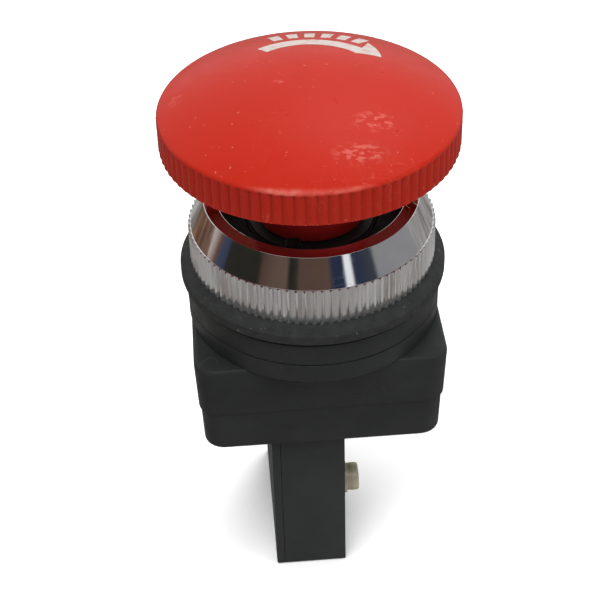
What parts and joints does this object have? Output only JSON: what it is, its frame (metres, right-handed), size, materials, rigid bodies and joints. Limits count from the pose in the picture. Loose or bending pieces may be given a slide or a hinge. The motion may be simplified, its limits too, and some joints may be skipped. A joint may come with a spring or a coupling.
{
  "type": "emergency stop button",
  "caption": "Panel emergency stop button: fluted red mushroom head that latches when pushed and releases with a turn, chrome bezel, black housing and a contact block behind.",
  "frame": {"origin": "centre of the bounding box's bottom, on the button's axis at the end of the contact block", "axes": "+Z along the button's axis, towards the red head; -Y towards the front of the housing, +X towards the terminal screws"},
  "size_m": [0.04, 0.04, 0.0786],
  "materials": {
    "red_plastic": "moulded, slightly worn",
    "dark_red_plastic": "moulded",
    "chrome": "bright plated",
    "rubber": "matt",
    "black_plastic": "fine moulded texture",
    "grey_plastic": "moulded",
    "spring_steel": "drawn wire",
    "zinc_steel": "plated",
    "brass": "stamped",
    "white_ink": "printed"
  },
  "bodies": {
    "housing": {"return_spring": "spring_steel", "latch_spring_left": "spring_steel", "latch_spring_right": "spring_steel", "operator_barrel": "black_plastic", "bezel_ring": "chrome", "gasket": "rubber", "spacer_ring": "black_plastic", "upper_housing": "black_plastic", "lower_housing": "black_plastic", "housing_screw_left": "zinc_steel", "housing_screw_right": "zinc_steel", "contact_case": "black_plastic", "contact_cover": "black_plastic", "contact_spring": "spring_steel", "fixed_contact_front": "brass", "fixed_contact_rear": "brass", "terminal_washer_front": "zinc_steel", "terminal_washer_rear": "zinc_steel", "terminal_screw_front": "zinc_steel", "terminal_screw_rear": "zinc_steel", "block_screw_front": "zinc_steel", "block_screw_rear": "zinc_steel"},
    "plunger": {"push_stem": "grey_plastic", "stem_clip": "spring_steel", "stem_seal": "rubber", "reset_spring": "spring_steel"},
    "head": {"mushroom_cap": "red_plastic", "turn_sleeve": "dark_red_plastic"},
    "latch_left": {"latch_pin_left": "zinc_steel"},
    "latch_right": {"latch_pin_right": "zinc_steel"},
    "contact": {"contact_plunger": "grey_plastic", "moving_bridge": "brass"}
  },
  "joints": [
    {"name": "press", "type": "slide", "parent": "housing", "child": "plunger", "axis": [0, 0, -1], "range_m": [0, 0.004], "deforming": ["return_spring"]},
    {"name": "turn_reset", "type": "hinge", "parent": "plunger", "child": "head", "pos_m": [0, 0, 0.0685], "axis": [0, 0, -1], "range_deg": [0, 45]},
    {"name": "latch_left", "type": "slide", "parent": "housing", "child": "latch_left", "axis": [1, 0, 0], "range_m": [0, 0.0008]},
    {"name": "latch_right", "type": "slide", "parent": "housing", "child": "latch_right", "axis": [-1, 0, 0], "range_m": [0, 0.0008]},
    {"name": "contact_open", "type": "slide", "parent": "housing", "child": "contact", "axis": [0, 0, -1], "range_m": [0, 0.004], "deforming": ["contact_spring"]}
  ],
  "couplings": [
    {"joint": "latch_left", "follows": "press", "ratio": 0.2},
    {"joint": "latch_right", "follows": "press", "ratio": 0.2},
    {"joint": "contact_open", "follows": "press", "ratio": 1}
  ]
}
